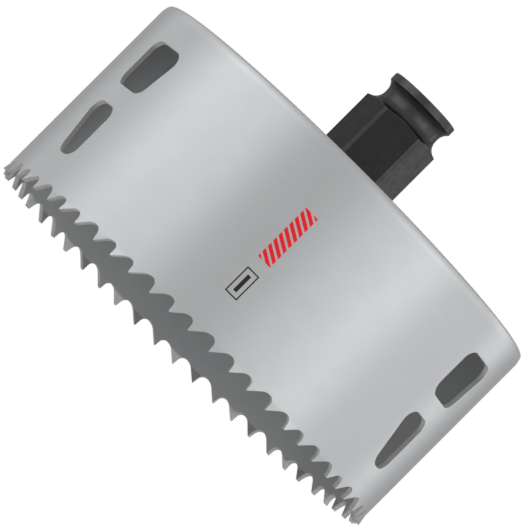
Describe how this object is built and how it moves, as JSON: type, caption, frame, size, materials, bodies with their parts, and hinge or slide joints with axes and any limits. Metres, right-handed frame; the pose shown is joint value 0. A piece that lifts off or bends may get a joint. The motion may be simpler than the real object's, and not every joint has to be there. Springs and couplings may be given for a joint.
{
  "type": "hole saw",
  "caption": "Bi-metal hole saw: toothed steel cup with set teeth and wall slots, a thick back plate and a black hexagonal quick-change adapter.",
  "frame": {"origin": "on the saw's axis, in the plane of the tooth tips that it stands on", "axes": "+Z along the axis from the teeth towards the adapter; +X and +Y across the cup, with a flat of the hexagon facing -Y"},
  "size_m": [0.1138, 0.1136, 0.0788],
  "materials": {
    "cup_paint": "satin silver-grey lacquer over bi-metal steel",
    "plate_paint": "satin silver-grey lacquer over steel plate",
    "black_steel": "black-oxide turned and milled steel"
  },
  "bodies": {
    "root": {"cup_wall": "cup_paint", "back_plate": "plate_paint", "hex_adapter": "black_steel"}
  },
  "joints": []
}
